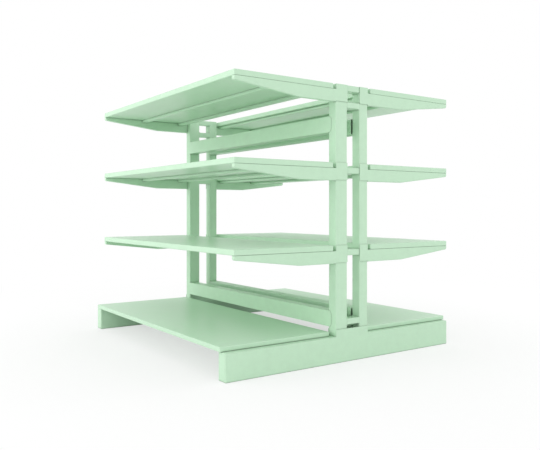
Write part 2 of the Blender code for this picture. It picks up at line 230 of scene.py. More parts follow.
class Effect(Wiring):
    """A surface effect that several finishes share, as a node group with the name of its class."""

    values: ClassVar[dict[str, float]]
    results: ClassVar[tuple[str, ...]] = ("Mask",)

    def __init__(self) -> None:
        """Makes the group's sockets, with a Position input ahead of the values, and wires it up."""
        super().__init__(bpy.data.node_groups.new(type(self).__name__, "ShaderNodeTree"))
        sockets = self.tree.interface
        sockets.new_socket("Position", in_out="INPUT", socket_type="NodeSocketVector")
        for label, value in self.values.items():
            socket = sockets.new_socket(label, in_out="INPUT", socket_type="NodeSocketFloat")
            socket.default_value = value
        for label in self.results:
            sockets.new_socket(label, in_out="OUTPUT", socket_type="NodeSocketFloat")
        self.given = self.node("NodeGroupInput").outputs
        self.result = self.node("NodeGroupOutput").inputs
        self.wire()

    def wire(self) -> None:
        """Wires up what the group gives."""
        raise NotImplementedError

    def cloud(self, scale: str, detail: float, roughness: float = 0.5) -> Socket:
        """A noise over the surface, at the scale that an input gives."""
        return self.noise(self.given["Position"], self.given[scale], detail, roughness)

    def give(self, label: str, socket: Socket) -> None:
        """Links a socket to one of the outputs."""
        self.tree.links.new(socket, self.result[label])

    def give_mask(self, *shares: Socket) -> None:
        """Gives the product of some shares and the Amount input as the Mask."""
        self.give("Mask", self.times(*shares, self.given["Amount"]))


class OrangePeel(Effect):
    """The fine ripple of baked powder, the slow waves of thin sheet, and a faint mottle of the colour, with
    painted shade in the ripple's pits and painted light on its crests.
    """

    values = {
        "Peel Scale": 620.0, "Wave Scale": 5.0, "Cloud Scale": 23.0, "Wave Share": 0.5, "Grain Share": 1.0,
    }
    results = ("Height", "Mottle")

    def wire(self) -> None:
        """Adds the waves to the ripple, and the ripple's grain to the clouds, as painted shade in its pits and
        painted light on its crests.
        """
        peel = self.cloud("Peel Scale", detail=2.0, roughness=0.45)
        waves = self.times(self.cloud("Wave Scale", detail=1.0), self.given["Wave Share"])
        self.give("Height", self.maths("ADD", peel, waves))
        clouds = self.cloud("Cloud Scale", detail=5.0, roughness=0.6)
        # Painted shade and light: the ripple's low pits darken the colour and its crests lighten it.
        grain = self.times(self.maths("SUBTRACT", peel, MEAN_NOISE), self.given["Grain Share"])
        self.give("Mottle", self.maths("ADD", clouds, grain))


class EdgeWear(Effect):
    """Where the coat is thin or rubbed along folds."""

    values = {"Edge": 0.0, "Reach": 0.5, "Amount": 0.5, "Patch Scale": 34.0}
    onset: ClassVar[Span] = (0.0, 0.18)

    def wire(self) -> None:
        """Lets patches show where they are strong enough on a fold."""
        patches = self.cloud("Patch Scale", detail=7.0, roughness=0.65)
        over = self.maths("SUBTRACT", self.times(patches, self.given["Edge"]), self.given["Reach"])
        self.give_mask(self.spread(over, self.onset))


class SettledDust(Effect):
    """Fine dust on the faces that look up."""

    values = {"Amount": 0.05, "Patch Scale": 7.0}
    upward: ClassVar[Span] = (0.75, 1.0)
    patch: ClassVar[Span] = (0.35, 0.7)
    cover: ClassVar[Span] = (0.2, 1.0)

    def wire(self) -> None:
        """Lays patches on what faces up."""
        normal = self.node("ShaderNodeNewGeometry").outputs["Normal"]
        height = self.node("ShaderNodeSeparateXYZ", {0: normal}).outputs["Z"]
        clouds = self.cloud("Patch Scale", detail=6.0, roughness=0.6)
        self.give_mask(self.spread(height, self.upward), self.spread(clouds, self.patch, self.cover))


class RubMarks(Effect):
    """Faint streaks where goods were slid on and off, from front to back."""

    values = {"Amount": 0.2, "Across Scale": 90.0, "Along Scale": 3.0, "Patch Scale": 4.0}
    streak: ClassVar[Span] = (0.54, 0.72)
    patch: ClassVar[Span] = (0.42, 0.62)

    def wire(self) -> None:
        """Stretches a noise into streaks and lets them show in patches."""
        across, along = self.given["Across Scale"], self.given["Along Scale"]
        scales = self.node("ShaderNodeCombineXYZ", {"X": across, "Y": along, "Z": across}).outputs["Vector"]
        stretch = {0: self.given["Position"], 1: scales}
        stretched = self.node("ShaderNodeVectorMath", stretch, operation="MULTIPLY").outputs["Vector"]
        streaks = self.noise(stretched, 1.0, detail=3.0, roughness=0.6)
        clouds = self.cloud("Patch Scale", detail=3.0)
        self.give_mask(self.spread(streaks, self.streak), self.spread(clouds, self.patch))


class JointGrime(Effect):
    """Painted shade, with some grime, darkening narrow corners and the rims of laps."""

    values = {"Openness": 1.0, "Amount": 0.3, "Patch Scale": 41.0}
    narrow: ClassVar[Span] = (0.50, 0.96)
    cover: ClassVar[Span] = (0.75, 1.0)

    def wire(self) -> None:
        """Lays patchy painted shade, with some grime, where there is little room."""
        corner = self.spread(self.given["Openness"], self.narrow, (1.0, 0.0))
        clouds = self.cloud("Patch Scale", detail=4.0, roughness=0.6)
        self.give_mask(corner, self.spread(clouds, MOST_NOISE, self.cover))


@dataclass(frozen=True)
class Finish:
    """A finish of the rack's steel."""

    slot: Slot
    colour: Colour
    roughness: float
    relief: float
    relief_strength: ClassVar[float]
    unevenness: ClassVar[Span]

    @cached_property
    def material(self) -> bpy.types.Material:
        """The finish as a material, made at its first use.

        Returns:
            The material.
        """
        made = bpy.data.materials.new(f"{self.slot.value}_finish")
        made.use_nodes = True
        wiring = Wiring(made.node_tree)
        shader = wiring.node("ShaderNodeBsdfPrincipled", self.surface(wiring))
        wiring.node("ShaderNodeOutputMaterial", {"Surface": shader.outputs["BSDF"]})
        return made

    def surface(self, wiring: Wiring) -> Inputs:
        """The values and sockets that the shader takes."""
        raise NotImplementedError

    def shade(self, share: float) -> tuple[float, float, float, float]:
        """The colour made lighter or darker by a share."""
        return (*(value * (1.0 + share) for value in self.colour), 1.0)

    def uneven(self, wiring: Wiring, clouds: Socket) -> Socket:
        """The roughness, a little lower and higher by turns."""
        down, up = self.unevenness
        return wiring.spread(clouds, MOST_NOISE, (self.roughness - down, self.roughness + up))

    def bump(self, wiring: Wiring, height: Socket) -> Socket:
        """The normal that the fine relief gives."""
        relief = {"Strength": self.relief_strength, "Distance": self.relief, "Height": height}
        return wiring.node("ShaderNodeBump", relief).outputs["Normal"]


@dataclass(frozen=True)
class PowderCoat(Finish):
    """Satin powder coat on folded steel."""

    peel_scale: float
    wave_share: float
    rub: float
    dust: float
    wear: float = 0.6
    grime: float = 0.55
    grime_dulling: float = 0.5
    corner_reach: float = 0.010
    tint: float = 0.06
    clear_coat: float = 0.12
    clear_roughness: float = 0.22
    thin_edge: Colour = (0.66, 0.80, 0.67)
    dust_colour: Colour = (0.70, 0.72, 0.67)
    rub_colour: Colour = (0.60, 0.76, 0.61)
    grime_colour: Colour = (0.16, 0.22, 0.16)
    relief_strength: ClassVar[float] = 0.8
    unevenness: ClassVar[Span] = (0.05, 0.06)

    def surface(self, wiring: Wiring) -> Inputs:
        """The coat's colour with its wear, dust, rub marks and painted shade in corners, its roughness and its
        orange peel.

        Args:
            wiring: The material's tree.

        Returns:
            The values and sockets that the shader takes.
        """
        position = {"Position": wiring.node("ShaderNodeTexCoord").outputs["Object"]}
        edge = wiring.node("ShaderNodeAttribute", attribute_name=FOLD).outputs["Fac"]
        # Painted shade: how little room lies round a point sets how dark the coat is in corners and laps.
        nearby = wiring.node("ShaderNodeAmbientOcclusion", {"Distance": self.corner_reach}, samples=8)
        peel = {"Peel Scale": self.peel_scale, "Wave Share": self.wave_share}
        coat = wiring.effect(OrangePeel, position | peel).outputs
        layers = (
            (EdgeWear, {"Edge": edge, "Amount": self.wear}, self.thin_edge),
            (RubMarks, {"Amount": self.rub}, self.rub_colour),
            (SettledDust, {"Amount": self.dust}, self.dust_colour),
            # Painted shade in corners and laps, dark green-grey, with some grime.
            (JointGrime, {"Openness": nearby.outputs["AO"], "Amount": self.grime}, self.grime_colour),
        )
        # The mottle's random tone, with painted shade in the peel's pits and painted light on its crests.
        tone = wiring.mix(coat["Mottle"], self.shade(-self.tint), self.shade(self.tint))
        masks = {}
        for kind, values, colour in layers:
            masks[kind] = wiring.effect(kind, position | values).outputs["Mask"]
            tone = wiring.mix(masks[kind], tone, (*colour, 1.0))
        rough = wiring.maths("ADD", self.uneven(wiring, coat["Mottle"]), masks[SettledDust])
        return {
            "Base Color": tone, "IOR": 1.5, "Normal": self.bump(wiring, coat["Height"]),
            "Roughness": wiring.maths("ADD", rough, wiring.times(masks[JointGrime], self.grime_dulling)),
            "Coat Weight": self.clear_coat, "Coat Roughness": self.clear_roughness,
        }


@dataclass(frozen=True)
class ZincPlate(Finish):
    """Bright zinc plate on a turned or forged fastener."""

    cloud_scale: float = 160.0
    grain_scale: float = 2400.0
    dulling: float = 0.18
    relief_strength: ClassVar[float] = 0.3
    unevenness: ClassVar[Span] = (0.08, 0.10)

    def surface(self, wiring: Wiring) -> Inputs:
        """The plate's cloudy colour and roughness and its fine grain.

        Args:
            wiring: The material's tree.

        Returns:
            The values and sockets that the shader takes.
        """
        position = wiring.node("ShaderNodeTexCoord").outputs["Object"]
        clouds = wiring.noise(position, self.cloud_scale, detail=5.0, roughness=0.6)
        grain = wiring.noise(position, self.grain_scale, detail=2.0)
        return {
            "Base Color": wiring.mix(clouds, self.shade(-self.dulling), self.shade(0.0)),
            "Roughness": self.uneven(wiring, clouds), "Metallic": 1.0,
            "Normal": self.bump(wiring, grain),
        }


@dataclass(frozen=True)
class Room:
    """The box that a CAD node takes up."""

    low: Vector
    high: Vector

    @classmethod
    def of(cls, node: str) -> "Room":
        """The room of a node."""
        return cls(*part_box(node))

    @property
    def middle(self) -> Vector:
        """The middle of the room."""
        return (self.low + self.high) / 2

    def x_end(self, sign: int) -> float:
        """The X of the end on the side that a sign gives."""
        return self.high.x if sign > 0 else self.low.x

    def y_end(self, sign: int) -> float:
        """The Y of the end on the side that a sign gives."""
        return self.high.y if sign > 0 else self.low.y


def add_object(name: str, data: bpy.types.ID) -> bpy.types.Object:
    """Puts an object into the scene.

    Args:
        name: The object's name.
        data: The mesh, lamp or camera that it shows.

    Returns:
        The new object.
    """
    made = bpy.data.objects.new(name, data)
    bpy.context.scene.collection.objects.link(made)
    return made


def verts_in(geometry: Iterable[object]) -> list[bmesh.types.BMVert]:
    """The vertices among what an operator made."""
    return [item for item in geometry if isinstance(item, bmesh.types.BMVert)]


def edges_between(verts: list[bmesh.types.BMVert]) -> Edges:
    """The edges that join some vertices with each other."""
    return list(dict.fromkeys(e for v in verts for e in v.link_edges if e.other_vert(v) in verts))


class Metalwork:
    """Sheet and tube work on one bmesh."""

    bead_sides: ClassVar[int] = 6
    bead_pitch: ClassVar[float] = 0.0026
    bead_valley: ClassVar[float] = 0.86
    bead_end: ClassVar[float] = 0.55
    fewest_ripples: ClassVar[int] = 3

    def __init__(self) -> None:
        """Starts an empty bmesh with a mark for the vertices inside a fold."""
        self.bm = bmesh.new()
        self.mark = self.bm.verts.layers.float.new(FOLD)

    def block(self, start: Vector, end: Vector) -> None:
        """Adds a block between two opposite corners.

        Args:
            start: One corner.
            end: The other corner.
        """
        size = [abs(length) for length in end - start]
        place = Matrix.Translation((start + end) / 2) @ Matrix.Diagonal((*size, 1.0))
        bmesh.ops.create_cube(self.bm, size=1.0, matrix=place)
        self.bm.normal_update()

    def prism(self, outline: Iterable[Vector], along: Vector) -> None:
        """Adds an outline of a few corners in order, pulled straight along a direction."""
        corners = [self.bm.verts.new(point) for point in outline]
        self.pull([self.bm.faces.new(corners)], along)

    def pull(self, flat: Faces, along: Vector) -> None:
        """Pulls flat faces into a solid.

        Args:
            flat: The faces.
            along: How far, and which way, they are pulled.
        """
        before = set(self.bm.faces) - set(flat)
        pulled = bmesh.ops.extrude_face_region(self.bm, geom=flat)["geom"]
        bmesh.ops.translate(self.bm, verts=verts_in(pulled), vec=along)
        self.turn_out(before)

    def turn_out(self, before: set[bmesh.types.BMFace]) -> None:
        """Points the faces that were not there before outwards."""
        bmesh.ops.recalc_face_normals(self.bm, faces=[f for f in self.bm.faces if f not in before])

    def facing(self, direction: Vector) -> Faces:
        """The faces that look straight in a direction."""
        return [f for f in self.bm.faces if f.normal.dot(direction) > STRAIGHT]

    def ends(self, axis: Vector) -> Faces:
        """The faces that look straight along an axis, either way."""
        return self.facing(axis) + self.facing(-axis)

    def widest(self, direction: Vector) -> bmesh.types.BMFace:
        """The largest face that looks straight in a direction."""
        return max(self.facing(direction), key=lambda face: face.calc_area())

    def along(self, axis: Vector) -> Edges:
        """The edges that run along an axis."""
        runs = {e: (e.verts[1].co - e.verts[0].co).normalized() for e in self.bm.edges}
        return [e for e, run in runs.items() if abs(run.dot(axis)) > STRAIGHT]

    def sharp(self) -> Edges:
        """The edges where two faces meet at a sharp angle."""
        return [e for e in self.bm.edges if len(e.link_faces) == 2 and e.calc_face_angle(0.0) > SHARP_ANGLE]

    def remove(self, faces: Faces) -> None:
        """Opens the skin by taking faces away."""
        bmesh.ops.delete(self.bm, geom=faces, context="FACES")

    def round_over(self, edges: Edges, radius: float, segments: int = 3) -> None:
        """Rounds edges and marks the inside of each fold.

        Args:
            edges: The edges to round.
            radius: The radius of the fold.
            segments: How many facets the fold has.
        """
        made = bmesh.ops.bevel(
            self.bm, geom=edges, offset=radius, offset_type="OFFSET", affect="EDGES",
            segments=segments, profile=0.5, material=-1, clamp_overlap=True,
        )
        strip = set(made["faces"])
        for vert in made["verts"]:
            if all(face in strip for face in vert.link_faces):
                vert[self.mark] = 1.0
        self.bm.normal_update()

    def wall(self, thickness: float) -> None:
        """Gives the open skin a wall towards its inside."""
        bmesh.ops.solidify(self.bm, geom=self.bm.faces[:], thickness=thickness)
        self.bm.normal_update()

    def seam(self, face: bmesh.types.BMFace, inset: float, width: float) -> None:
        """Cuts a fine V-shaped seam round a face, where two sheets meet.

        Args:
            face: The face that carries the seam.
            inset: How far the seam lies from the face's edge.
            width: The width of the seam.
        """
        inward = -face.normal * STOCK.seam_depth
        rings = []
        for thickness in (inset, width / 2, width / 2):
            bmesh.ops.inset_individual(self.bm, faces=[face], thickness=thickness, use_even_offset=True)
            rings.append(list(face.verts))
        bmesh.ops.translate(self.bm, verts=rings[1], vec=inward)
        self.bm.normal_update()

    def flat_at(self, point: Vector, direction: Vector) -> bmesh.types.BMFace:
        """The flat face that looks in a direction and holds a point."""
        level = [f for f in self.facing(direction) if abs((point - f.verts[0].co).dot(direction)) < TOUCH]
        return next(f for f in level if bmesh.geometry.intersect_face_point(f, point))

    def cut_slot(self, low: Vector, high: Vector, direction: Vector) -> Edges:
        """Cuts a square-cornered slot into a flat face.

        Args:
            low: The lowest corner of the slot, on the face.
            high: The highest corner of the slot, on the face.
            direction: The direction that the face looks in.

        Returns:
            The edges round the slot.
        """
        middle = (low + high) / 2
        across = [axis for axis in (LENGTHWAYS, CROSSWAYS, UP) if not axis.dot(direction)]
        for axis, corner in product(across, (low, high)):
            face = self.flat_at(middle, direction)
            around = [face, *face.edges, *face.verts]
            bmesh.ops.bisect_plane(self.bm, geom=around, dist=TOUCH, plane_co=corner, plane_no=axis)
            self.bm.normal_update()
        inside = self.flat_at(middle, direction)
        rim = list(inside.edges)
        self.remove([inside])
        return rim

    def ring(self, centre: Vector, direction: Vector, diameter: float, sides: int) -> Edges:
        """Draws a round or many-sided outline, square to a direction.

        Args:
            centre: The middle of the outline.
            direction: The direction that it faces.
            diameter: Its diameter over the corners.
            sides: How many sides it has.

        Returns:
            The edges of the outline.
        """
        place = Matrix.Translation(centre) @ UP.rotation_difference(direction).to_matrix().to_4x4()
        drawn = bmesh.ops.create_circle(self.bm, segments=sides, radius=diameter / 2, matrix=place)["verts"]
        return edges_between(drawn)

    def fill(self, edges: Edges, direction: Vector) -> Faces:
        """Fills the flat between an outer and an inner outline."""
        filled = bmesh.ops.triangle_fill(self.bm, edges=edges, use_beauty=True, normal=direction)["geom"]
        return [item for item in filled if isinstance(item, bmesh.types.BMFace)]

    def drill(self, centre: Vector, diameter: float, direction: Vector) -> None:
        """Cuts a round hole into a flat face.

        Args:
            centre: The middle of the hole, on the face.
            diameter: The diameter of the hole.
            direction: The direction that the face looks in.
        """
        reach = Vector(0.0 if part else diameter for part in direction)
        rim = self.cut_slot(centre - reach, centre + reach, direction)
        made = self.fill(rim + self.ring(centre, direction, diameter, ROUND_SIDES), direction)
        self.bm.normal_update()
        bmesh.ops.reverse_faces(self.bm, faces=[f for f in made if f.normal.dot(direction) < 0.0])

    def nut(self, seat: Vector, along: Vector, across: float, bore: float) -> None:
        """Sets a hex nut with a plain bore on a seat.

        Args:
            seat: The middle of the seat.
            along: The way through the nut, as long as the nut is high.
            across: The width across its flats.
            bore: The diameter of its bore.
        """
        direction = along.normalized()
        outline = self.ring(seat, direction, across / cos(pi / HEX), HEX)
        hole = self.ring(seat, direction, bore, ROUND_SIDES)
        self.pull(self.fill(outline + hole, direction), along)

    def bead(self, start: Vector, end: Vector, radius: float) -> None:
        """Lays a rippled weld bead along a straight joint.

        Args:
            start: One end of the joint.
            end: The other end.
            radius: The radius of the bead.
        """
        before = set(self.bm.faces)
        run = end - start
        ripples = max(self.fewest_ripples, round(run.length / self.bead_pitch))
        edges = self.ring(start, run.normalized(), 2 * radius * self.bead_end, self.bead_sides)
        bmesh.ops.contextual_create(self.bm, geom=edges)
        step = run / (2 * ripples)
        swells = [1.0, self.bead_valley] * ripples
        swells[-1] = self.bead_end
        for index, swell in enumerate(swells):
            ring = verts_in(bmesh.ops.extrude_edge_only(self.bm, edges=edges)["geom"])
            edges = edges_between(ring)
            bmesh.ops.translate(self.bm, verts=ring, vec=step)
            centre = start + step * (index + 1)
            ratio = radius * swell / (ring[0].co - centre).length
            bmesh.ops.scale(self.bm, verts=ring, vec=(ratio,) * 3, space=Matrix.Translation(-centre))
        bmesh.ops.contextual_create(self.bm, geom=edges)
        self.turn_out(before)

    def trim(self, room: Room) -> None:
        """Brings back, across the rack, what a bevel pushed past the room of the piece."""
        for vert in self.bm.verts:
            vert.co.x = min(max(vert.co.x, room.low.x), room.high.x)

    def mesh(self, name: str) -> bpy.types.Mesh:
        """Hands over the finished mesh.

        Args:
            name: The mesh's name.

        Returns:
            The mesh, with smooth shading.
        """
        made = bpy.data.meshes.new(name)
        self.bm.to_mesh(made)
        self.bm.free()
        made.shade_smooth()
        made.set_sharp_from_angle(angle=SHARP_ANGLE)
        return made


@dataclass(frozen=True)
class Hook:
    """The hook of an arm or a rail, and the slot of the upright that it drops into."""

    width: float = 0.012
    neck: float = 0.012
    drop: float = 0.010
    arm_spacing: float = 0.045
    rail_setback: float = 0.011

    def arm_heights(self, arm: Room) -> tuple[float, float]:
        """The heights of the undersides of an arm's two necks."""
        middle = arm.middle.z - self.neck / 2
        return middle + self.arm_spacing / 2, middle - self.arm_spacing / 2

    def rail_root(self, rail: Room, side: Side, y: float) -> Vector:
        """The middle of the underside of a rail's neck at one end, at a place along Y."""
        x = rail.x_end(side.value) - side.value * self.rail_setback
        return Vector((x, y, rail.middle.z - self.neck / 2))

    def add(self, work: Metalwork, root: Vector, inward: Vector, lead: float) -> None:
        """Adds a hook to an arm or a rail.

        Args:
            work: The metalwork of the arm or rail.
            root: The middle of the neck's underside, inside the sheet that carries the hook.
            inward: The direction into the upright.
            lead: The way from the root to the upright's face.
        """
        across = UP.cross(inward) * self.width
        inner = root + inward * (lead + STOCK.tube_wall + STOCK.fit)
        end = inner + inward * STOCK.plate
        rise, fall = UP * self.neck, DOWN * self.drop
        outline = [root, root + rise, end + rise, end + fall, inner + fall, inner]
        work.prism([point - across / 2 for point in outline], across)

    def cut(self, work: Metalwork, root: Vector, outward: Vector) -> None:
        """Cuts the slot for a hook into an upright.

        Args:
            work: The metalwork of the upright.
            root: The middle of the neck's underside, on the upright's face.
            outward: The direction that the face looks in.
        """
        half = self.width / 2 + STOCK.fit
        across = Vector((abs(outward.y) * half, abs(outward.x) * half, 0.0))
        high = UP * (self.neck + self.drop + STOCK.fit)
        work.cut_slot(root - across + DOWN * STOCK.fit, root + across + high, outward)


@dataclass
class Piece:
    """A piece of the rack that stands for one CAD node."""

    node: str
    finish: Finish
    work: Metalwork = field(init=False, repr=False, default_factory=Metalwork)
    stem: ClassVar[str]

    @property
    def room(self) -> Room:
        """The room of the piece's node."""
        return Room.of(self.node)

    def shape(self) -> None:
        """Models the piece."""
        raise NotImplementedError

    def make(self) -> bpy.types.Object:
        """Builds the piece, dresses it and puts it in the node's place.

        Returns:
            The new object.
        """
        self.shape()
        name = f"{self.stem}_{self.node}"
        made = add_object(name, self.work.mesh(name))
        made.data.materials.append(self.finish.material)
        shading = made.modifiers.new("flat_faces", "WEIGHTED_NORMAL")
        shading.keep_sharp = True
        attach(made, BODY)
        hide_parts(self.node)
        log.info("%s: %d faces", name, len(made.data.polygons))
        return made


@dataclass
class Panel(Piece):
    """A hollow board: a sheet folded round all its edges and closed by a plate below."""

    stem: ClassVar[str] = "folded"
    fold: float = 0.004
    return_flange: float = 0.014
    seam_width: float = 0.0012
    skin: float = 0.0012
    slot_inset: float = STOCK.arm_width - STOCK.plate
    slot_width: float = STOCK.plate
    slot_length: float = STOCK.tab_length + 2 * STOCK.fit

    def shape(self) -> None:
        """Folds the sheet, marks the closing plate by its seam and cuts its slots."""
        work, room = self.work, self.room
        work.block(room.low, room.high)
        work.round_over(work.bm.edges[:], self.fold)
        work.seam(work.widest(DOWN), self.return_flange, self.seam_width)
        half = Vector((self.slot_width / 2, self.slot_length / 2, 0.0))
        for side in Side:
            x = room.x_end(side.value) - side.value * (self.slot_inset + self.slot_width / 2)
            slot = Vector((x, room.middle.y, room.low.z))
            work.cut_slot(slot - half, slot + half, DOWN)
        work.wall(self.skin)


@dataclass
class BasePanel(Panel):
    """A base board, with slots for the lugs of the base legs."""

    slot_inset: float = STOCK.lug_inset - STOCK.fit
    slot_width: float = STOCK.plate + 2 * STOCK.fit
    slot_length: float = STOCK.lug_length + 2 * STOCK.fit


@dataclass
class Stiffener(Piece):
    """A folded channel, open upwards, stitched to the underside of a board."""

    stem: ClassVar[str] = "channel"
    fold: float = 0.003
    sheet: float = 0.0015
    stitch_length: float = 0.024
    stitch_radius: float = 0.003
    stitch_count: int = 7

    def shape(self) -> None:
        """Folds the channel and lays its stitch welds."""
        work, room = self.work, self.room
        work.block(room.low, room.high)
        work.remove(work.facing(UP) + work.ends(LENGTHWAYS))
        work.round_over(work.sharp(), self.fold)
        work.wall(self.sheet)
        pitch = (room.high.x - room.low.x) / self.stitch_count
        for index in range(self.stitch_count):
            middle = room.low.x + pitch * (index + 0.5)
            for y in (room.low.y, room.high.y):
                start = Vector((middle - self.stitch_length / 2, y, room.high.z))
                work.bead(start, start + LENGTHWAYS * self.stitch_length, self.stitch_radius)


@dataclass
class Upright(Piece):
    """A rectangular tube with a cap plate welded into its top, slots for the hooks and a weld nut."""

    face: Face
    side: Side
    stem: ClassVar[str] = "tube"
    hook: Hook = Hook()
    ground_edge: float = 0.0012
    cap_inset: float = 0.0012
    cap_seam: float = 0.0012
    nut_across: float = 0.022
    nut_height: float = 0.010

    def shape(self) -> None:
        """Rolls the tube, closes its top, cuts its slots and sets its weld nut."""
        work, room = self.work, self.room
        work.block(room.low, room.high)
        work.round_over(work.along(UP), STOCK.tube_corner, segments=4)
        work.remove(work.facing(DOWN))
        work.round_over(list(work.widest(UP).edges), self.ground_edge, segments=2)
        work.seam(work.widest(UP), self.cap_inset, self.cap_seam)
        self.cut_slots()
        inward = LENGTHWAYS * self.side.value
        bolt = Room.of(f"base_bolt_{self.face.label}_{self.side.label}").middle
        hole = Vector((room.x_end(-self.side.value), bolt.y, bolt.z))
        work.drill(hole, STOCK.bolt_hole, -inward)
        work.wall(STOCK.tube_wall)
        seat = hole + inward * STOCK.tube_wall
        work.nut(seat, inward * self.nut_height, self.nut_across, STOCK.bolt_hole)

    def cut_slots(self) -> None:
        """Cuts the slots for the hooks of the arms and rails."""
        work, room = self.work, self.room
        out, sign = self.side.value, self.face.value
        for level in Level:
            arm = Room.of(f"arm_{self.face.label}_{level.label}_{self.side.label}")
            for height in self.hook.arm_heights(arm):
                self.hook.cut(work, Vector((room.x_end(out), room.middle.y, height)), LENGTHWAYS * out)
        for row in RailRow:
            rail = Room.of(f"rail_{self.face.label}_{row.label}")
            root = self.hook.rail_root(rail, self.side, room.y_end(sign))
            self.hook.cut(work, root, CROSSWAYS * sign)


@dataclass
class Tie(Piece):
    """A short rectangular tube, welded between the two uprights of a frame."""

    row: TieRow
    stem: ClassVar[str] = "welded"
    bead_radius: float = 0.004
    bead_stop: float = 0.002
    groove_bead: float = 0.0032
    groove_shift: float = 0.0015

    def shape(self) -> None:
        """Cuts the tube and lays the welds at both of its ends."""
        work, room = self.work, self.room
        work.block(room.low, room.high)
        work.round_over(work.along(CROSSWAYS), STOCK.tube_corner, segments=4)
        work.remove(work.ends(CROSSWAYS))
        work.wall(STOCK.tube_wall)
        heights = [room.low.z] if self.row is TieRow.TOP else [room.low.z, room.high.z]
        for y, out in ((room.low.y, -1.0), (room.high.y, 1.0)):
            for z in heights:
                start = Vector((room.low.x + self.bead_stop, y, z))
                work.bead(start, Vector((room.high.x - self.bead_stop, y, z)), self.bead_radius)
            groove = y + out * self.groove_shift
            for x in (room.low.x + self.groove_bead, room.high.x - self.groove_bead):
                start = Vector((x, groove, room.low.z + self.bead_stop))
                work.bead(start, Vector((x, groove, room.high.z - self.bead_stop)), self.groove_bead)


@dataclass
class Arm(Piece):
    """A plate folded into a tapered trough, whose outer web laps over its upright and hooks into it."""

    face: Face
    side: Side
    level: Level
    stem: ClassVar[str] = "folded"
    hook: Hook = Hook()
    edge_radius: float = 0.0006
    tip_radius: float = 0.010
    knee: float = 0.325
    tip_height: float = 0.022
    tab_rise: float = 0.006
    tab_hold: float = 0.006

    def shape(self) -> None:
        """Cuts the plate, folds the trough and lets the outer web lap over the upright."""
        work, room = self.work, self.room
        sign, out = self.face.value, self.side.value
        upright = Room.of(f"upright_{self.face.label}_{self.side.label}")
        board = Room.of(f"board_{self.face.label}_{self.level.label}")
        root_y, tip_y = room.y_end(-sign), room.y_end(sign)
        start_y = upright.y_end(sign) + sign * STOCK.fit
        knee_y = root_y + sign * self.knee
        low, top = room.low.z, board.low.z - STOCK.fit
        tip_low = board.low.z - self.tip_height
        outline = [(start_y, top), (tip_y, top), (tip_y, tip_low), (knee_y, low), (start_y, low)]
        outer = room.x_end(out)
        work.prism([Vector((outer, y, z)) for y, z in outline], LENGTHWAYS * -out * STOCK.arm_width)
        work.remove(work.facing(UP) + work.facing(CROSSWAYS * -sign))
        tip = [v for v in work.bm.verts if abs(v.co.y - tip_y) < STOCK.fit]
        chin = edges_between([v for v in tip if v.co.z - tip_low < STOCK.fit])
        work.round_over(chin, self.tip_radius, segments=6)
        work.round_over(work.sharp(), STOCK.plate_fold)
        self.lap(start_y)
        work.wall(STOCK.plate)
        work.round_over(work.sharp(), self.edge_radius, segments=2)
        work.trim(room)
        for height in self.hook.arm_heights(room):
            root = Vector((outer - out * STOCK.plate / 2, upright.middle.y, height))
            self.hook.add(work, root, LENGTHWAYS * -out, STOCK.plate / 2 + STOCK.fit)
        self.tab(Vector((room.x_end(-out), board.middle.y, top)))

    def tab(self, foot: Vector) -> None:
        """Stands a tab on the inner web, for the slot of the board.

        Args:
            foot: The middle of the tab, on the top edge of the web's inner face.
        """
        out, half = self.side.value, STOCK.tab_length / 2
        start = foot + Vector((out * STOCK.fit, -half, -self.tab_hold))
        end = foot + Vector((out * (STOCK.plate - STOCK.fit), half, self.tab_rise))
        self.work.block(start, end)

    def lap(self, start_y: float) -> None:
        """Pulls the outer web over the upright and up to the top of the board.

        Args:
            start_y: Where the web meets the upright.
        """
        work, room = self.work, self.room
        outer = room.x_end(self.side.value)
        reach = CROSSWAYS * (room.y_end(-self.face.value) - start_y)
        web = [v for v in work.bm.verts if abs(v.co.x - outer) < STOCK.fit]
        root = [v for v in web if abs(v.co.y - start_y) < STOCK.fit]
        far = verts_in(bmesh.ops.extrude_edge_only(work.bm, edges=edges_between(root))["geom"])
        bmesh.ops.translate(work.bm, verts=far, vec=reach)
        high = max(v.co.z for v in far)
        upper = [v for v in far + root if high - v.co.z < STOCK.fit]
        raised = verts_in(bmesh.ops.extrude_edge_only(work.bm, edges=edges_between(upper))["geom"])
        bmesh.ops.translate(work.bm, verts=raised, vec=UP * (room.high.z - high))
        work.bm.normal_update()
        inside_out = work.facing(LENGTHWAYS * -self.side.value)
        flat = [f for f in inside_out if all(abs(v.co.x - outer) < STOCK.fit for v in f.verts)]
        bmesh.ops.reverse_faces(work.bm, faces=flat)


@dataclass
class Rail(Piece):
    """A folded channel behind a face plate with rounded ends, which laps over the uprights and hooks in."""

    face: Face
    stem: ClassVar[str] = "pressed"
    hook: Hook = Hook()
    overhang: float = 0.024
    corner: float = 0.020
    fold: float = 0.004
    sheet: float = 0.002
    edge_radius: float = 0.0006

    def shape(self) -> None:
        """Folds the channel, cuts the face plate and adds the hooks."""
        work, room = self.work, self.room
        sign = self.face.value
        outer, inner = room.y_end(sign), room.y_end(-sign)
        back = outer - sign * self.sheet
        inset = Vector((self.overhang, 0.0, STOCK.fit))
        start = Vector((room.low.x, back, room.low.z))
        work.block(start + inset, Vector((room.high.x, inner, room.high.z)) - inset)
        folds = [e for e in work.along(LENGTHWAYS) if abs(e.verts[0].co.y - inner) < STOCK.fit]
        work.round_over(folds, self.fold)
        work.remove(work.ends(LENGTHWAYS) + work.facing(CROSSWAYS * sign))
        work.wall(self.sheet)
        channel = set(work.bm.edges)
        work.block(start, Vector((room.high.x, outer, room.high.z)))
        corners = [e for e in work.along(CROSSWAYS) if e not in channel]
        work.round_over(corners, self.corner, segments=8)
        work.round_over([e for e in work.sharp() if e not in channel], self.edge_radius, segments=2)
        lead = self.sheet / 2 + STOCK.fit
        for side in Side:
            root = self.hook.rail_root(room, side, outer - sign * self.sheet / 2)
            self.hook.add(work, root, CROSSWAYS * -sign, lead)


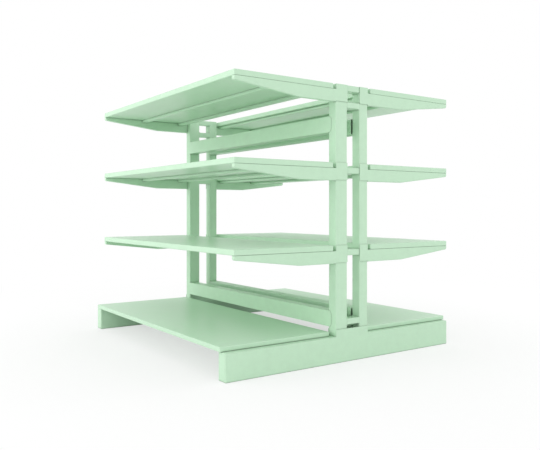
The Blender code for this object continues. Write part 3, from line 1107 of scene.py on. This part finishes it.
@dataclass
class BaseLeg(Piece):
    """A long folded leg with end plates, a cheek on each side of the uprights' feet, and lugs on top."""

    side: Side
    stem: ClassVar[str] = "boxed"
    height: float = 0.142
    end_seam: float = 0.0014
    lug_rise: float = 0.012
    lug_root: float = 0.001

    def shape(self) -> None:
        """Folds the leg, opens the socket between the cheeks, closes the ends and drills the bolt holes."""
        work, room = self.work, self.room
        front, back = room.low.y, room.high.y
        pair_front = Room.of(f"upright_front_{self.side.label}").low.y
        pair_back = Room.of(f"upright_back_{self.side.label}").high.y
        outline = [
            (front, room.low.z), (back, room.low.z), (back, self.height), (pair_back, self.height),
            (pair_back, room.high.z), (pair_front, room.high.z), (pair_front, self.height),
            (front, self.height),
        ]
        width = room.high.x - room.low.x
        work.prism([Vector((room.low.x, y, z)) for y, z in outline], LENGTHWAYS * width)
        raised = [f for f in work.bm.faces if max(v.co.z for v in f.verts) > self.height + STOCK.fit]
        work.remove([f for f in raised if min(v.co.z for v in f.verts) > self.height - STOCK.fit])
        work.round_over(work.sharp(), STOCK.plate_fold)
        for end_plate in work.ends(CROSSWAYS):
            work.seam(end_plate, STOCK.plate_fold, self.end_seam)
        inward = -self.side.value
        for face in Face:
            bolt = Room.of(f"base_bolt_{face.label}_{self.side.label}").middle
            hole = Vector((room.x_end(inward), bolt.y, bolt.z))
            work.drill(hole, STOCK.bolt_hole, LENGTHWAYS * inward)
        work.wall(STOCK.plate)
        self.lugs()

    def lugs(self) -> None:
        """Stands the lugs on the leg, for the slots of the base boards."""
        half = Vector((STOCK.plate / 2, STOCK.lug_length / 2, 0.0))
        x = self.room.middle.x - self.side.value * (STOCK.lug_inset + STOCK.plate / 2)
        for face in Face:
            foot = Vector((x, Room.of(f"base_board_{face.label}").middle.y, self.height))
            self.work.block(foot - half + DOWN * self.lug_root, foot + half + UP * self.lug_rise)


@dataclass
class BaseBolt(Piece):
    """A hex bolt with a washer face, driven through the leg into the upright's weld nut."""

    side: Side
    stem: ClassVar[str] = "hex"
    across: float = 0.018
    head: float = 0.0075
    washer_face: float = 0.0006
    washer: float = 0.0171
    washer_sides: int = 32
    shank: float = 0.012
    chamfer: float = 0.0012

    def shape(self) -> None:
        """Forges the head and turns the shank."""
        work, room = self.work, self.room
        inward = -self.side.value
        head_end, shank_end = room.x_end(inward), room.x_end(-inward)
        seat = head_end - inward * self.head
        self.rod(head_end, seat + inward * self.washer_face, self.across / cos(pi / HEX), HEX)
        rim = [e for e in work.sharp() if all(abs(v.co.x - head_end) < self.chamfer / 2 for v in e.verts)]
        work.round_over(rim, self.chamfer, segments=2)
        self.rod(seat + inward * self.washer_face * 2, seat, self.washer, self.washer_sides)
        self.rod(seat + inward * self.washer_face, shank_end, self.shank, ROUND_SIDES)

    def rod(self, start: float, end: float, diameter: float, sides: int) -> None:
        """Adds a rod on the bolt's axis.

        Args:
            start: The X of one end.
            end: The X of the other end.
            diameter: Its diameter over the corners.
            sides: How many sides it has.
        """
        axis = self.room.middle
        place = Matrix.Translation(((start + end) / 2, axis.y, axis.z)) @ Matrix.Rotation(pi / 2, 4, "Y")
        bmesh.ops.create_cone(
            self.work.bm, cap_ends=True, segments=sides, radius1=diameter / 2, radius2=diameter / 2,
            depth=abs(end - start), matrix=place,
        )
        self.work.bm.normal_update()


@dataclass
class Rack:
    """The whole rack, piece by piece."""

    frame_coat: PowderCoat
    board_coat: PowderCoat
    plate: ZincPlate

    def frames(self) -> Iterator[Piece]:
        """The base legs, uprights, ties, arms and bolts of both frames.

        Yields:
            The pieces, frame by frame.
        """
        for side in Side:
            yield BaseLeg(f"base_leg_{side.label}", self.frame_coat, side)
            for row in TieRow:
                yield Tie(f"tie_{row.label}_{side.label}", self.frame_coat, row)
            for face in Face:
                label = f"{face.label}_{side.label}"
                yield Upright(f"upright_{label}", self.frame_coat, face, side)
                yield BaseBolt(f"base_bolt_{label}", self.plate, side)
                for level in Level:
                    node = f"arm_{face.label}_{level.label}_{side.label}"
                    yield Arm(node, self.frame_coat, face, side, level)

    def spans(self) -> Iterator[Piece]:
        """The boards, their channels, the base boards and the rails between the frames.

        Yields:
            The pieces, face by face.
        """
        for face in Face:
            yield BasePanel(f"base_board_{face.label}", self.board_coat)
            for row in RailRow:
                yield Rail(f"rail_{face.label}_{row.label}", self.frame_coat, face)
            for level in Level:
                label = f"{face.label}_{level.label}"
                yield Panel(f"board_{label}", self.board_coat)
                for spot in Channel:
                    yield Stiffener(f"stiffener_{label}_{spot.label}", self.board_coat)


@dataclass
class Softbox:
    """A square studio light that points at the rack."""

    name: str
    place: tuple[float, float, float]
    size: float
    watts: float

    def light(self, target: Vector) -> None:
        """Hangs the light.

        Args:
            target: The point that it looks at.
        """
        lamp = bpy.data.lights.new(self.name, "AREA")
        lamp.size = self.size
        lamp.energy = self.watts
        made = add_object(self.name, lamp)
        made.location = self.place
        made.rotation_euler = (target - Vector(self.place)).to_track_quat("-Z", "Y").to_euler()


@dataclass
class Studio:
    """A white floor, even light all round and three soft lamps."""

    softboxes: tuple[Softbox, ...] = (
        Softbox("key_softbox", (-1.8, -5.4, 2.0), 3.2, 88.0),
        Softbox("side_softbox", (5.0, -3.6, 2.4), 3.6, 22.0),
        Softbox("back_softbox", (1.2, 5.4, 2.2), 3.2, 60.0),
    )
    target: Vector = field(default_factory=lambda: Vector((0.0, 0.0, 0.75)))
    floor_size: float = 60.0
    floor_white: float = 0.90
    floor_show: float = 0.60
    floor_fade: Span = (1.2, 3.6)
    sky: float = 0.99
    eye: tuple[float, float, float] = (3.4596, -2.3342, 0.8243)
    pan: float = 55.2
    lens: float = 42.385
    sensor: float = 36.0
    shift_y: float = -0.02857
    far_clip: float = 200.0

    def camera(self) -> None:
        """Sets the camera level, at the drawing's eye point."""
        data = bpy.data.cameras.new("camera")
        data.lens = self.lens
        data.sensor_width = self.sensor
        data.shift_y = self.shift_y
        data.clip_end = self.far_clip
        made = add_object("camera", data)
        made.location = self.eye
        made.rotation_euler = (pi / 2, 0.0, radians(self.pan))
        bpy.context.scene.camera = made

    def seen(self, wiring: Wiring) -> Socket:
        """A mask of the rays that show the background rather than light the rack.

        Args:
            wiring: The tree that needs the mask.

        Returns:
            The mask.
        """
        rays = wiring.node("ShaderNodeLightPath").outputs
        mirror = wiring.maths("MAXIMUM", rays["Is Glossy Ray"], rays["Is Transmission Ray"])
        return wiring.maths("MAXIMUM", rays["Is Camera Ray"], mirror)

    def floor(self) -> None:
        """Lays a pale floor that shows white and keeps the rack's shadow."""
        paint = bpy.data.materials.new("studio_floor")
        paint.use_nodes = True
        wiring = Wiring(paint.node_tree)
        pale = (self.floor_white,) * 3 + (1.0,)
        matt = wiring.node("ShaderNodeBsdfDiffuse", {"Color": pale})
        glow = wiring.node("ShaderNodeEmission", {"Color": WHITE, "Strength": 1.0})
        position = wiring.node("ShaderNodeTexCoord").outputs["Object"]
        distance = wiring.node("ShaderNodeVectorMath", {0: position}, operation="LENGTH").outputs["Value"]
        fade = wiring.spread(distance, self.floor_fade, (self.floor_show, 1.0))
        share = wiring.maths("MULTIPLY", self.seen(wiring), fade)
        mixed = wiring.node("ShaderNodeMixShader", {0: share, 1: matt.outputs[0], 2: glow.outputs[0]})
        wiring.node("ShaderNodeOutputMaterial", {"Surface": mixed.outputs[0]})
        work = Metalwork()
        bmesh.ops.create_grid(work.bm, x_segments=1, y_segments=1, size=self.floor_size / 2)
        made = add_object("studio_floor", work.mesh("studio_floor"))
        made.data.materials.append(paint)

    def world(self) -> None:
        """Fills the studio with even light and shows white behind the rack."""
        world = bpy.data.worlds.new("studio")
        world.use_nodes = True
        wiring = Wiring(world.node_tree)
        strength = wiring.spread(self.seen(wiring), (0.0, 1.0), (self.sky, 1.0))
        sky = wiring.node("ShaderNodeBackground", {"Color": WHITE, "Strength": strength})
        wiring.node("ShaderNodeOutputWorld", {"Surface": sky.outputs[0]})
        bpy.context.scene.world = world

    def set_up(self) -> None:
        """Sets up the camera, the floor and the lights."""
        bpy.context.scene.view_settings.view_transform = "Standard"
        self.camera()
        self.floor()
        self.world()
        for softbox in self.softboxes:
            softbox.light(self.target)


def main() -> None:
    """Builds the rack around its frame and sets up the studio."""
    logging.basicConfig(level=logging.INFO, format="%(message)s")
    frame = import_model()
    log.info("%d nodes to dress", len(frame["nodes"]))
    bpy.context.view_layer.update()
    pale_green = (0.515, 0.738, 0.539)
    rack = Rack(
        frame_coat=PowderCoat(
            slot=Slot.FRAME, colour=pale_green, roughness=0.42, peel_scale=620.0,
            wave_share=0.3, relief=0.00025, dust=0.05, rub=0.15,
        ),
        board_coat=PowderCoat(
            slot=Slot.BOARD, colour=pale_green, roughness=0.38, peel_scale=700.0,
            wave_share=1.2, relief=0.00025, dust=0.06, rub=0.35,
        ),
        plate=ZincPlate(slot=Slot.BOLT, colour=(0.62, 0.63, 0.64), roughness=0.34, relief=0.00003),
    )
    Studio().set_up()
    for piece in chain(rack.frames(), rack.spans()):
        piece.make()


if __name__ == "__main__":
    main()
